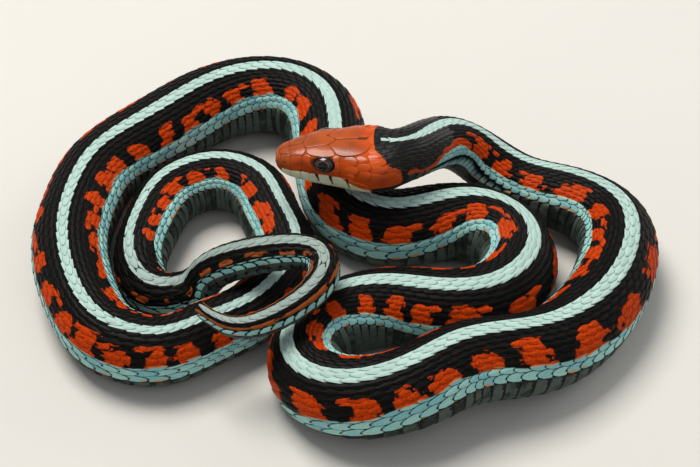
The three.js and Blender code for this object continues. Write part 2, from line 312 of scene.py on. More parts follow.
def surface(s, around, height, floor=0.03):
    """Point at a height over the body's surface, never below the floor it lies on."""
    along_step = 0.05
    around_step = 0.4
    low = np.maximum(s - along_step, 0.002)
    along = place(low + 2 * along_step, around) - place(low, around)
    across = place(s, around + around_step) - place(s, around - around_step)
    out = np.cross(along, across)
    out /= np.maximum(np.linalg.norm(out, axis=-1), 1e-9)[..., None]
    point = place(s, around) + out * np.asarray(height)[..., None]
    point[..., 2] = np.maximum(point[..., 2], floor)
    return point


def unwrap(s, around, strip_of=None):
    """Place of a point of the skin on its unrolled sheet, laid out in strips."""
    strip_length = (LINE.length + TIP_LENGTH + 0.1) / UNWRAP_STRIPS
    strip = np.floor((s if strip_of is None else strip_of) / strip_length)
    strip = np.clip(strip, 0, UNWRAP_STRIPS - 1)
    turn = (np.asarray(around) + 180.0) / 360.0
    u = (strip + 0.03 + 0.94 * turn) / UNWRAP_STRIPS
    v = 0.02 + (s - strip * strip_length) * UNWRAP_PER_MM
    return np.stack([u, v], axis=-1)


def scale_pitch(s):
    """Distance from one scale to the next along a row, short on the nape, long on the tail."""
    nape = 0.74 + 0.26 * smooth_step(24.0, 55.0, s)
    tail = 1 + 0.4 * smooth_step(VENT - 10, VENT + 12, s)
    return (0.9 + 0.21 * LINE.read(LINE.radius, s)) * nape * tail


def scale_stations(start, end):
    """Distances of the scales of one row, closer together where the body is thin."""
    stations = [start]
    while stations[-1] < end:
        stations.append(stations[-1] + float(scale_pitch(stations[-1])))
    return np.array(stations[:-1])


# Half width of the stripe in degrees, by distance behind the snout.
STRIPE_WIDTHS = ((19, 21, 24, 30, 60, 120, 200, 270, 320, 400, 440, 470, 500, 512, 540, 575),
                 (-2, 2.4, 5.5, 11, 12.5, 11.5, 12, 11, 9.5, 8.8, 9.5, 11.5, 12, 15.5, 18.5, 22))
# Upper edge of the turquoise flank in degrees from the middle of the back.
FLANK_TOPS = (
    (26, 28.5, 31, 35, 38, 42, 46, 51, 90, 125, 137, 150, 170, 200, 260, 330, 400, 440, 500, 510, 540, 575),
    (92, 85, 67, 63, 68, 76, 72, 66, 66, 66, 61, 58, 66, 66, 60, 61, 60, 62, 64, 66, 62, 62),
)
# Where the turquoise reaches lower on the throat, as the start and end of its rise and of its
# fall behind the snout, and by how many degrees.
THROAT_STRETCH = (24.0, 32.0, 46.0, 62.0)
THROAT_DROP = 26.0
# Where a red line borders the flank of the neck, and where the blotches begin.
NECK_LINE = (22.0, 24.0, 39.0, 42.0)
BLOTCHES_START = 38.0
# Where the blotches give way to the tail's spots, and where these run together into a line.
TAIL_MARKS = (492.0, 510.0)
TAIL_LINE = (545.0, 562.0)
# Millimetres behind the snout of the red blotches on the left (-1) and right (1) flank.
BLOTCH_PLACES = {
    -1: (43, 52, 61, 69, 80, 88, 94, 101, 110, 119, 128, 137, 146, 156, 166, 172, 179, 186, 193, 199,
         206, 214, 222, 231, 240, 249, 258, 267, 275, 283, 292, 300, 309, 318, 327, 336, 345, 354,
         362, 367, 373, 378, 385, 392, 397, 402, 407, 411, 418, 424, 430, 437, 444, 451, 459, 467,
         474, 481, 488, 494),
    1: (43, 53, 62, 71, 81, 91, 102, 113, 123, 132, 141, 147, 153, 160, 168, 176, 184, 192, 200, 208,
        217, 227, 237, 246, 254, 259, 264, 272, 281, 291, 298, 308, 317, 324, 331, 337, 344, 352,
        358, 364, 370, 377, 384, 392, 397, 404, 411, 419, 427, 434, 441, 448, 453, 460, 470, 478,
        485, 490, 495, 499),
}
# Stretches where the blotches of the left (-1) or right (1) flank keep lower on the side, and
# by how many degrees.
LOW_SHIFT = 9.0
LOW_BLOTCHES = {-1: ((82, 170), (224, 374), (443, 500)), 1: ((0, 82), (170, 224), (374, 443))}


def blotch_table(seed, side, places):
    """Place, half length, upper edge, slant and side branch of each blotch of one flank."""
    chance = np.random.default_rng(seed)
    places = np.array(places, dtype=float)
    room = np.gradient(places)
    count = len(places)
    low = np.any([(places > start) & (places < end) for start, end in LOW_BLOTCHES[side]], axis=0)
    return np.stack([
        places,
        room * chance.uniform(0.25, 0.36, count),
        chance.uniform(27.0, 38.0, count) + LOW_SHIFT * low,
        chance.uniform(-0.25, 0.75, count) * room * 0.3,
        chance.uniform(-1.0, 1.0, count),
    ], axis=-1)


BLOTCHES = {side: blotch_table(SEED + side, side, places) for side, places in BLOTCH_PLACES.items()}


def wander(seed, s, step):
    """A slow irregular wave along the body, between -1 and 1."""
    chance = np.random.default_rng(seed)
    knots = np.arange(-step, LINE.length + 2 * step, step)
    return np.interp(s, knots, chance.uniform(-1, 1, len(knots)))


def markings(s, around, along_scale=None):
    """Stripe, blotch, flank and belly as fields that pass 0.5 at the edge of the marking."""
    s = np.asarray(s, dtype=float)
    turned = half_turn(around)
    theta = np.abs(turned)
    tooth = 0.0 if along_scale is None else (0.5 - np.clip(along_scale, 0.3, 1.0)) * 4.0
    stripe_half = np.interp(s, *STRIPE_WIDTHS) + 0.4 * wander(11, s, 9.0) + tooth
    stripe = 0.5 + (stripe_half - theta) / 3.0
    flank_top = np.interp(s, *FLANK_TOPS) + 2.5 * wander(12, s, 4.0)
    flank = 0.5 + (theta - flank_top) / 9.0
    belly = 0.5 + (theta - FLANK_EDGE - THROAT_DROP * between(s, *THROAT_STRETCH)) / 3.0
    blotch = np.full(s.shape, -4.0)
    for side, table in BLOTCHES.items():
        near = np.clip(np.searchsorted(table[:, 0], s), 1, len(table) - 1)
        near = np.where(s - table[near - 1, 0] < table[near, 0] - s, near - 1, near)
        middle, half_length, top, slant, branch = (table[near, k] for k in range(5))
        height = (theta - top) / np.maximum(flank_top - top, 1.0)
        taper = 0.62 + 0.38 * smooth_step(0.0, 0.45, height)
        lengthwise = 1 - np.abs(s - middle - slant * (1 - height)) / (half_length * taper)
        inside = np.minimum(lengthwise, (theta - top) / 8.0)
        twig_at = middle + np.sign(branch) * (half_length + 0.7)
        twig = 0.9 - np.hypot((s - twig_at) / 1.5, (theta - top - 3.0) / 5.0)
        inside = np.where(np.abs(branch) > 0.35, np.maximum(inside, twig), inside)
        blotch = np.where(turned * side > 0, inside, blotch)
    # the red line from the corner of the mouth to the first blotch
    line = np.minimum((theta - flank_top + 15.0) / 6.0, 1.0) - 3.0 * (1 - between(s, *NECK_LINE))
    blotch = np.maximum(np.where(s > BLOTCHES_START, blotch, -2.0), line)
    # the spots of the tail, and the line they run together into
    spot = 0.75 * np.sin(s * 1.15 + 2.0 * wander(14, s, 5.0)) + 1.3 * smooth_step(*TAIL_LINE, s)
    spot = np.minimum(spot, 1.0 - np.abs(theta - flank_top + 12.0) / 7.5)
    on_tail = smooth_step(*TAIL_MARKS, s)
    blotch = blotch * (1 - on_tail) + np.minimum(spot, 0.45) * on_tail
    blotch = 0.5 + blotch * 0.9
    return np.stack([stripe, blotch, flank, belly], axis=-1)


def head_colour(s, around):
    """Where the head is orange against the black of the nape, and where that is the cheek's."""
    theta = np.abs(half_turn(around))
    cheek_end = 19.3 + 1.5 * smooth_step(4, 50, theta) + 1.9 * smooth_step(45, 85, theta)
    orange = 1 - smooth_step(-0.5, 0.5, s - cheek_end)
    orange = orange * (1 - smooth_step(100, 106, theta) * smooth_step(18.0, 19.5, s))
    cheek = smooth_step(38, 62, theta) * smooth_step(1.5, 4.0, s)
    cheek = np.maximum(cheek, smooth_step(14.0, 19.0, s))
    return orange, cheek


def zones(s, around):
    """Head, cheek and tail as fields between 0 and 1."""
    return np.stack([*head_colour(s, around), smooth_step(VENT - 5, VENT + 25, s)], axis=-1)


def new_mesh(name, points, quads, polygons=(), attributes=None, sheet=None):
    """A mesh object from points in millimetres, quads and groups of other polygons."""
    mesh = bpy.data.meshes.new(name)
    groups = [np.asarray(group, dtype=np.int32) for group in (quads, *polygons)]
    loops = np.concatenate([group.ravel() for group in groups])
    totals = np.repeat([group.shape[1] for group in groups], [len(group) for group in groups])
    totals = totals.astype(np.int32)
    starts = np.concatenate([[0], np.cumsum(totals)[:-1]]).astype(np.int32)
    mesh.vertices.add(len(points))
    mesh.vertices.foreach_set("co", (np.asarray(points) * MM).astype(np.float32).ravel())
    mesh.loops.add(len(loops))
    mesh.loops.foreach_set("vertex_index", loops)
    mesh.polygons.add(len(totals))
    mesh.polygons.foreach_set("loop_start", starts)
    mesh.polygons.foreach_set("loop_total", totals)
    mesh.polygons.foreach_set("use_smooth", np.full(len(totals), True))
    mesh.update(calc_edges=True)
    for key, values in (attributes or {}).items():
        layer = mesh.attributes.new(key, "FLOAT_COLOR", "POINT")
        filled = np.ones((len(points), 4), dtype=np.float32)
        filled[:, :values.shape[-1]] = values.reshape(len(points), -1)
        layer.data.foreach_set("color", filled.ravel())
    if sheet is not None:
        layer = mesh.uv_layers.new(name="OFBake")
        flat = np.asarray(sheet, dtype=np.float32)
        layer.data.foreach_set("uv", (flat if len(flat) == len(loops) else flat[loops]).ravel())
    mesh.validate()
    piece = bpy.data.objects.new(name, mesh)
    bpy.context.scene.collection.objects.link(piece)
    return piece


def grid_quads(rows, columns, closed_rows=False, closed_columns=False):
    """Quads of a grid of points; where it is closed, the last row or column meets the first."""
    i, j = grid(np.arange(rows - (not closed_rows)), np.arange(columns - (not closed_columns)))
    row = i * columns
    next_row = (i + 1) % rows * columns
    after = (j + 1) % columns
    return np.stack([row + j, next_row + j, next_row + after, row + after], axis=-1).reshape(-1, 4)


def rim_of_grid(rows, columns):
    """Point numbers round the edge of a grid, in the order that keeps the outside up."""
    left = [i * columns for i in range(rows)]
    tail = [(rows - 1) * columns + j for j in range(1, columns)]
    right = [i * columns + columns - 1 for i in range(rows - 2, -1, -1)]
    front = list(range(columns - 2, 0, -1))
    return np.array(left + tail + right + front)


class Leaf:
    """One closed scale as a grid over its length and width, with a rim turned under it."""

    def __init__(self, along, across, outline, height, thickness, under=0.90):
        a, b = grid(along, across)
        self.rim = rim_of_grid(len(along), len(across))
        top_a = a.ravel()
        top_b = b.ravel()
        width = np.interp(top_a, outline[0], outline[1])
        self.a = np.concatenate([top_a, 0.5 + (top_a[self.rim] - 0.5) * under])
        self.b = np.concatenate([top_b, top_b[self.rim]])
        self.across = np.concatenate([top_b * width, (top_b * width)[self.rim] * under])
        top = height(top_a, top_b)
        self.height = np.concatenate([top, top[self.rim] - thickness])
        count = len(top_a)
        ring = count + np.arange(len(self.rim))
        after = np.roll(np.arange(len(self.rim)), -1)
        skirt = np.stack([self.rim, ring, ring[after], self.rim[after]], axis=1)
        self.quads = np.concatenate([grid_quads(len(along), len(across)), skirt])
        self.bottom = ring[::-1][None, :]
        self.size = len(self.a)

    def copies(self, count):
        """Quads and bottoms of many leaves, one after another."""
        shift = (np.arange(count) * self.size)[:, None, None]
        quads = (self.quads[None] + shift).reshape(-1, 4)
        bottoms = (self.bottom[None] + shift).reshape(-1, self.bottom.shape[1])
        return quads, bottoms


# Half width of a scale along its length, against its widest.
SCALE_OUTLINE = ((0.0, 0.25, 0.45, 0.7, 0.85, 0.95, 1.0), (0.55, 0.88, 1.0, 0.90, 0.62, 0.34, 0.12))


def keeled_height(a, b):
    """Rises to the tip, with a keel along the middle and edges that dip."""
    rise = np.interp(a, (0.0, 0.9, 1.0), (-0.06, 0.18, 0.155))
    keel = 0.055 * np.clip(1 - np.abs(b) / 0.28, 0, 1) * smooth_step(0.1, 0.4, a)
    return rise + keel - 0.045 * b * b


def plain_height(a, b):
    """Rises to the tip with an even crown."""
    rise = np.interp(a, (0.0, 0.9, 1.0), (-0.06, 0.18, 0.15))
    return rise - 0.06 * b * b


def scale_leaf(height):
    """A pointed scale of the back or flank."""
    along = (0.0, 0.25, 0.5, 0.72, 0.88, 0.96, 1.0)
    across = (-1.0, -0.82, -0.3, 0.0, 0.3, 0.82, 1.0)
    return Leaf(along, across, SCALE_OUTLINE, height, 0.10)


def leaf_coat(name, leaf, station, angle, length, half_width, tone, sink=None):
    """A coat of leaves, each with its root station, middle angle, length and half width.

    On the head they sink by a set depth and take the colours of the head's plates.
    """
    s = station[:, None] + leaf.a[None] * length[:, None]
    around = angle[:, None] + leaf.across[None] * half_width[:, None]
    grow = (scale_pitch(station) / FULL_PITCH)[:, None]
    height = leaf.height[None] * grow - COAT_DEPTH * grow
    if sink is not None:
        height = np.broadcast_to(leaf.height[None] - sink, s.shape)
    points = surface(s, around, height).reshape(-1, 3)
    middle = unwrap(station + 0.5 * length, half_turn(angle))
    offset = np.stack([leaf.across * PATCH_WIDTH / 2, (leaf.a - 0.5) * PATCH_LENGTH], axis=-1)
    sheet = (middle[:, None] + offset[None]).reshape(-1, 2)
    quads, bottoms = leaf.copies(len(station))
    edge = np.maximum(leaf.b ** 2, np.clip((leaf.a - 0.62) / 0.38, 0, 1) ** 2)
    along_scale = np.broadcast_to(leaf.a, s.shape)
    lie = [np.broadcast_to(value, s.shape) for value in (leaf.a, edge, tone[:, None], np.abs(leaf.b))]
    attributes = {
        "markings": markings(s, around, along_scale),
        "lie": np.stack(lie, axis=-1),
        "zone": zones(s, around),
    }
    if sink is not None:
        orange, cheek = head_colour(s, around)
        attributes["head_zone"] = np.stack([cheek, np.zeros_like(s), 1 - orange], axis=-1)
    return new_mesh(name, points, quads, [bottoms], attributes, sheet)


def row_layout(rows_each_side):
    """Middle angle and half width of every row, from one flank over the back to the other."""
    missing = len(ROW_WIDTHS) - rows_each_side
    if missing == 0:
        widths = np.array(ROW_WIDTHS)
        first = MIDDLE_ROW
    else:
        widths = np.ones(rows_each_side)
        widths[-1] = 1.0 + 0.16 * missing
        whole = FLANK_EDGE + (TAIL_EDGE - FLANK_EDGE) * (missing - 1) / 5
        widths = widths * whole / (widths.sum() + widths.mean() / 2)
        first = whole - widths.sum()
    middles = first + np.cumsum(widths) - widths / 2
    angle = np.concatenate([-middles[::-1], [0.0], middles])
    half = np.concatenate([widths[::-1] / 2, [first], widths / 2])
    return angle, half


# Stretches of the coat: name, start, end, and rows on each side of the row along the back.
COAT_STRETCHES = (
    ("nape_scales", COAT_START, NAPE_END, 8),
    ("neck_scales", NAPE_END, 90.0, 9),
    ("right_scales", 90.0, 205.0, 9),
    ("middle_scales", 205.0, 320.0, 9),
    ("left_scales", 320.0, 398.0, 9),
    ("inner_scales", 398.0, 486.0, 8),
    ("tail_base_scales", 486.0, 497.0, 7),
    ("tail_first_scales", 497.0, 505.0, 6),
    ("tail_scales", 505.0, 513.0, 5),
    ("tail_end_scales", 513.0, 552.0, 4),
    ("tail_tip_scales", 552.0, 600.0, 3),
)
# A keeled scale's length and the distance from its station to its root, against the distance
# between scales, and its width against its row's.
LEAF_LENGTH = 1.95
LEAF_ROOT = 0.55
LEAF_WIDTH = 1.30


def coat_stretch(name, start, end, rows):
    """All the scales of one stretch, every other row half a scale further back."""
    end = min(end, LINE.length - 0.4)
    chance = np.random.default_rng(SEED + int(start))
    angle, half = row_layout(rows)
    stations = ALL_STATIONS[(ALL_STATIONS >= start) & (ALL_STATIONS < end)]
    keeled = []
    smooth = []
    for number, (middle, width) in enumerate(zip(angle, half)):
        shift = 0.5 if number % 2 else 0.0
        for s in stations:
            pitch = float(scale_pitch(s))
            root = s + shift * pitch - LEAF_ROOT * pitch
            group = smooth if number in (0, len(angle) - 1) or s < NAPE_END else keeled
            group.append((root, middle, LEAF_LENGTH * pitch, width * LEAF_WIDTH, chance.random()))
    pieces = []
    for suffix, group, leaf in (("", keeled, KEELED_LEAF), ("_smooth", smooth, PLAIN_LEAF)):
        if group:
            table = np.array(group)
            pieces.append(leaf_coat(name + suffix, leaf, *table.T))
    return pieces


ALL_STATIONS = scale_stations(COAT_START, LINE.length)
KEELED_LEAF = scale_leaf(keeled_height)
PLAIN_LEAF = scale_leaf(plain_height)


def belly_leaf():
    """A broad belly plate, or one of a pair under the tail."""
    along = (0.0, 0.35, 0.7, 0.88, 0.96, 1.0)
    across = np.linspace(-1, 1, 23)
    outline = ((0.0, 1.0), (1.0, 1.0))

    def height(a, b):
        return np.interp(a, (0.0, 0.9, 1.0), (-0.06, 0.16, 0.12)) - 0.08 * np.abs(b) ** 6

    return Leaf(along, across, outline, height, 0.10, under=0.96)


# Length of a belly plate against the distance between scales, and the middle and half width,
# in degrees, of the paired plates under the tail.
SCUTE_LENGTH = 1.4
PAIR_ANGLE = 143.0
PAIR_HALF = 39.0


def belly_scutes():
    """Broad plates across the throat and belly, then pairs under the tail."""
    leaf = belly_leaf()
    chance = np.random.default_rng(SEED + 100)
    station = ALL_STATIONS[ALL_STATIONS < VENT] + 3.0
    station = station[station > 22]
    pitch = scale_pitch(station)
    angle = np.full(len(station), 180.0)
    half = np.full(len(station), 180.0 - FLANK_EDGE + 3.0)
    wide = leaf_coat("belly_scutes", leaf, station - 0.3 * pitch, angle, SCUTE_LENGTH * pitch, half,
                     chance.random(len(station)))
    rest = ALL_STATIONS[(ALL_STATIONS >= VENT) & (ALL_STATIONS < LINE.length - 1.0)] + 1.0
    pitch = scale_pitch(rest)
    station = np.concatenate([rest, rest + 0.5 * pitch])
    angle = np.repeat([PAIR_ANGLE, -PAIR_ANGLE], len(rest))
    length = np.tile(SCUTE_LENGTH * pitch, 2)
    half = np.full(len(station), PAIR_HALF)
    pairs = leaf_coat("tail_scutes", leaf, station - 0.3 * length, angle, length, half,
                      chance.random(len(station)))
    return [wide, pairs]


def from_opening(s, around, opening):
    """Millimetres over the skin from the middle of an opening on either side of the head."""
    at, angle, _, per_degree = opening
    return np.hypot(s - at, (np.abs(half_turn(around)) - angle) * per_degree)


# Depths of the hollows in the skin of the head: the crease of the mouth, with its width, then
# under the eye's rim, under the eye itself, and in the nostril.
CREASE_DEPTH = 0.42
CREASE_WIDTH = 0.17
RIM_HOLLOW = 0.35
EYE_HOLLOW = 1.3
NOSTRIL_HOLLOW = 0.7


def skin_height(s, around):
    """Depth of the skin under the coat, with the mouth crease, eye hollows and nostrils."""
    head = 1 - smooth_step(17.0, 20.0, s)
    depth = -COAT_DEPTH * (scale_pitch(s) / FULL_PITCH) * (1 - head) - HEAD_SINK * head
    _, z = section(np.clip(s, 0, LINE.length), around)
    crease = np.exp(-((z - mouth_height(s)) / CREASE_WIDTH) ** 2)
    crease = crease * (1 - smooth_step(JAW_LENGTH - 1.0, JAW_LENGTH + 0.3, s))
    depth = depth - CREASE_DEPTH * crease
    from_eye = from_opening(s, around, EYE_OPENING)
    rim = EYE_OPENING[2]
    depth = depth - RIM_HOLLOW * (1 - smooth_step(rim, rim + 0.5, from_eye))
    depth = depth - EYE_HOLLOW * (1 - smooth_step(rim - 0.5, rim - 0.1, from_eye))
    from_nostril = from_opening(s, around, NOSTRIL_OPENING)
    return depth - NOSTRIL_HOLLOW * (1 - smooth_step(0.15, NOSTRIL_OPENING[2], from_nostril))


def make_skin():
    """One closed skin from the snout to the tip of the tail."""
    sides = 144
    head_stations = np.concatenate([[0.03, 0.12], np.arange(0.25, 27.0, 0.2)])
    body_stations = np.arange(27.3, LINE.length - 0.5, 1.4)
    s = np.concatenate([head_stations, body_stations, [LINE.length - 0.2, LINE.length]])
    around = np.linspace(-180.0, 180.0, sides, endpoint=False)
    grid_s, grid_a = grid(s, around)
    points = surface(grid_s, grid_a, skin_height(grid_s, grid_a), floor=0.16)
    snout = points[0].mean(axis=0)
    tip = points[-1].mean(axis=0) + LINE.along[-1] * TIP_LENGTH * 0.6
    flat = np.concatenate([points.reshape(-1, 3), [snout, tip]])
    quads = grid_quads(len(s), sides, closed_columns=True)
    ring = np.arange(sides)
    after = (ring + 1) % sides
    last = (len(s) - 1) * sides
    front_cap = np.stack([np.full(sides, len(flat) - 2), ring, after], axis=1)
    back_cap = np.stack([np.full(sides, len(flat) - 1), last + after, last + ring], axis=1)
    # every corner of every face has its own place on the sheet, so that none spans two strips
    step = 360.0 / sides
    low = np.tile(around, len(s) - 1)
    corner_a = np.stack([low, low, low + step, low + step], axis=1).ravel()
    front = np.repeat(s[:-1], sides)
    back = np.repeat(s[1:], sides)
    corner_s = np.stack([front, back, back, front], axis=1).ravel()
    wall_sheet = unwrap(corner_s, corner_a, np.repeat(front, 4))
    cap_a = np.stack([around + step / 2, around, around + step], axis=1).ravel()
    front_s = np.tile([0.0, s[0], s[0]], sides)
    back_s = np.tile([LINE.length + 0.4, s[-1], s[-1]], sides)
    back_a = np.stack([around + step / 2, around + step, around], axis=1).ravel()
    sheet = np.concatenate([wall_sheet, unwrap(front_s, cap_a), unwrap(back_s, back_a)])
    all_s = np.concatenate([grid_s.ravel(), [0.0, LINE.length]])
    all_a = np.concatenate([grid_a.ravel(), [0.0, 0.0]])
    lie = np.tile(np.array([0.5, 1.0, 0.5, 1.0]), (len(all_s), 1))
    attributes = {"markings": markings(all_s, all_a), "lie": lie, "zone": zones(all_s, all_a)}
    return new_mesh("skin", flat, quads, [front_cap, back_cap], attributes, sheet)


# The plates of one side of the head. Each outline gives millimetres behind the snout and
# degrees down from the crown; a plate that lies on the midline is mirrored onto itself.
PAIRED_PLATES = {
    "internasal": [(0.8, 0), (1.0, 20), (1.35, 28), (2.9, 28), (2.7, 0)],
    "prefrontal": [(2.7, 0), (2.9, 28), (3.0, 40), (5.3, 42), (6.0, 24), (5.9, 14), (5.5, 0)],
    "supraocular": [(5.9, 14), (6.0, 24), (6.2, 33), (7.0, 40), (9.3, 43), (11.3, 40), (11.8, 34),
                    (11.4, 22), (10.2, 8)],
    "parietal": [(11.8, 0), (10.2, 8), (11.4, 22), (11.8, 34), (13.4, 38), (15.8, 33), (18.0, 22),
                 (18.9, 9), (18.5, 0)],
    "prenasal": [(1.35, 28), (1.2, 58), (1.35, 94), (2.0, 92.5), (1.95, 28)],
    "postnasal": [(1.95, 28), (2.0, 92.5), (3.1, 91), (3.0, 40), (2.9, 28)],
    "loreal": [(3.0, 40), (3.1, 91), (5.3, 90), (5.3, 42)],
    "preocular": [(5.3, 42), (5.3, 90), (8.0, 89.2), (6.9, 66), (7.0, 40), (6.1, 33)],
    "postocular_1": [(11.3, 40), (11.8, 34), (12.6, 38), (12.5, 52), (11.2, 56)],
    "postocular_2": [(11.2, 56), (12.5, 52), (12.6, 72), (11.2, 74)],
    "postocular_3": [(11.2, 74), (12.6, 72), (12.4, 88.4), (10.9, 88.5), (10.2, 88.6)],
    "chin_shield_1": [(1.8, 180), (1.7, 158), (4.6, 151), (5.6, 163), (5.6, 180)],
    "chin_shield_2": [(5.6, 180), (5.6, 163), (6.6, 151), (10.2, 155), (10.8, 172), (10.6, 180)],
}
FRONTAL = [(5.5, 0), (5.9, 14), (10.2, 8), (11.8, 0)]
MENTAL = [(0.55, 152), (0.55, 208), (1.7, 200), (1.7, 160)]
# Overlapping scales of the temple and cheek: root, degrees from the crown, length, half width.
CHEEK_SCALES = (
    (12.0, 47, 4.3, 15), (12.2, 70, 4.2, 14), (12.2, 85, 3.4, 8),
    (14.6, 40, 3.9, 11), (15.0, 58, 3.9, 12), (15.0, 77, 3.9, 12),
    (17.2, 32, 3.4, 10), (17.4, 48, 3.5, 11), (17.6, 66, 3.5, 11), (17.4, 86, 3.6, 11),
    (19.6, 38, 2.8, 9), (19.7, 54, 2.8, 10), (19.8, 71, 2.8, 10), (19.8, 89, 2.8, 10),
)
# Where the plates of the lips end, the upper edge of the upper ones in degrees down from the
# crown, and how far the lower ones reach down from the mouth.
UPPER_LABIAL_ENDS = (1.35, 3.1, 5.0, 6.7, 8.3, 10.9, 14.2, 18.5)
LABIAL_TOPS = ((1.3, 3.1, 5.0, 6.7, 8.3, 10.9, 14.2, 18.5), (94, 91, 90, 89.5, 89, 88.5, 88, 92))
LOWER_LABIAL_ENDS = (0.9, 2.2, 3.7, 5.3, 7.1, 9.1, 11.3, 13.6, 16.0, 18.6)
LOWER_LABIAL_DEPTH = 17.0
# How far the plate on the snout reaches back, by degrees from the crown.
ROSTRAL_REACH = ((0, 30, 60, 85, 105, 122, 150, 180), (0.8, 0.98, 1.2, 1.33, 1.32, 0.85, 0.46, 0.38))
# Black bars between plates of the upper lip.
LIP_BARS = (8.3, 10.9, 14.2)
# Upper edge of the pale of the lips, in degrees down from the crown.
PALE_LIP_TOPS = ((1.3, 4.0, 8.0, 10.9, 13.0, 15.0, 17.0, 19.0), (90, 87, 86, 87, 89, 95, 102, 107))
# The rings of a plate: their size against its outline, and their height before it is sunk
# into the surface. Its middle and the point that closes it underneath lie at heights of their own.
PLATE_RINGS = (1.0, 0.99, 0.95, 0.85, 0.6, 0.4, 0.2)
PLATE_RISE = (-0.14, 0.060, 0.082, 0.095, 0.10, 0.104, 0.106)
PLATE_SINK = 0.10
PLATE_MIDDLE = 0.02
PLATE_UNDERSIDE = -0.30
# Points round a plate, the gap left to its neighbours, and about how long a degree is.
PLATE_POINTS = 72
PLATE_GAP = 0.02
PLATE_MM_PER_DEGREE = 0.11


def mouth_angle(s):
    """Degrees down from the crown at which the line of the mouth runs."""
    trial = np.linspace(95, 160, 66)
    _, z = section(np.full(trial.shape, float(s)), trial)
    return float(np.interp(-mouth_height(np.array(float(s))), -z, trial))


def labial_outlines():
    """Outlines of the plates along the upper and the lower lip."""
    outlines = {}
    for number, (front, back) in enumerate(zip(UPPER_LABIAL_ENDS, UPPER_LABIAL_ENDS[1:]), 1):
        steps = np.linspace(front, back, 5)
        upper = [(s, float(np.interp(s, *LABIAL_TOPS))) for s in steps]
        lower = [(s, mouth_angle(s) - 1.2) for s in steps[::-1]]
        outlines[f"upper_labial_{number}"] = upper + lower
    for number, (front, back) in enumerate(zip(LOWER_LABIAL_ENDS, LOWER_LABIAL_ENDS[1:]), 1):
        steps = np.linspace(front, back, 4)
        upper = [(s, mouth_angle(s) + 2.0) for s in steps]
        lower = [(s, mouth_angle(s) + LOWER_LABIAL_DEPTH) for s in steps[::-1]]
        outlines[f"lower_labial_{number}"] = upper + lower
    return outlines


def mirrored(outline):
    """A midline plate from its one half."""
    return outline + [(s, -a) for s, a in reversed(outline) if abs(a) not in (0, 180)]


def even_outline(outline):
    """The outline as evenly spread points with slightly rounded corners."""
    corners = np.array(outline, dtype=float)
    closed = np.vstack([corners, corners[:1]])
    step = np.diff(closed, axis=0) * (1.0, PLATE_MM_PER_DEGREE)
    length = np.concatenate([[0], np.cumsum(np.hypot(step[:, 0], step[:, 1]))])
    at = np.linspace(0, length[-1], PLATE_POINTS, endpoint=False)
    points = np.stack([np.interp(at, length, closed[:, k]) for k in (0, 1)], axis=-1)
    for _ in range(4):
        points = (np.roll(points, 1, axis=0) + 2 * points + np.roll(points, -1, axis=0)) / 4
    return points


def clear_of_opening(points, opening):
    """Moves what would lie over an opening of the head out to its rim."""
    at, angle, radius, per_degree = opening
    sign = np.where(points[..., 1] < 0, -1.0, 1.0)
    ds = points[..., 0] - at
    da = (np.abs(points[..., 1]) - angle) * per_degree
    push = np.maximum(radius / np.maximum(np.hypot(ds, da), 1e-6), 1.0)
    moved = np.stack([at + ds * push, sign * (angle + da * push / per_degree)], axis=-1)
    return np.where((push > 1.0)[..., None], moved, points)


def plate_rings(outline):
    """Rings of one plate from its rim to its middle, as (distance, angle) points."""
    rim = even_outline(outline)
    middle = rim.mean(axis=0)
    reach = np.hypot(rim[:, 0] - middle[0], (rim[:, 1] - middle[1]) * PLATE_MM_PER_DEGREE)
    rim = middle + (rim - middle) * np.maximum(1 - PLATE_GAP / reach, 0.5)[:, None]
    rings = [middle + (rim - middle) * ring for ring in PLATE_RINGS]
    rings = np.stack(rings + [np.tile(middle, (len(rim), 1))])
    for opening in (EYE_OPENING, NOSTRIL_OPENING):
        rings = clear_of_opening(rings, opening)
    return rings


def rostral_rings():
    """Rings of the plate that caps the snout, round its foremost point."""
    around = np.linspace(-180, 180, PLATE_POINTS, endpoint=False)
    reach = np.interp(np.abs(around), *ROSTRAL_REACH) - 0.03
    return np.stack([np.stack([reach * ring, around], axis=-1) for ring in PLATE_RINGS + (0.03,)])


def head_outlines():
    """The outline of every plate of the head."""
    outlines = {}
    paired = dict(PAIRED_PLATES)
    paired.update(labial_outlines())
    for name, outline in paired.items():
        outlines[name + "_right"] = outline
        outlines[name + "_left"] = [(s, -a) for s, a in outline]
    outlines["frontal"] = mirrored(FRONTAL)
    outlines["mental"] = MENTAL
    return outlines


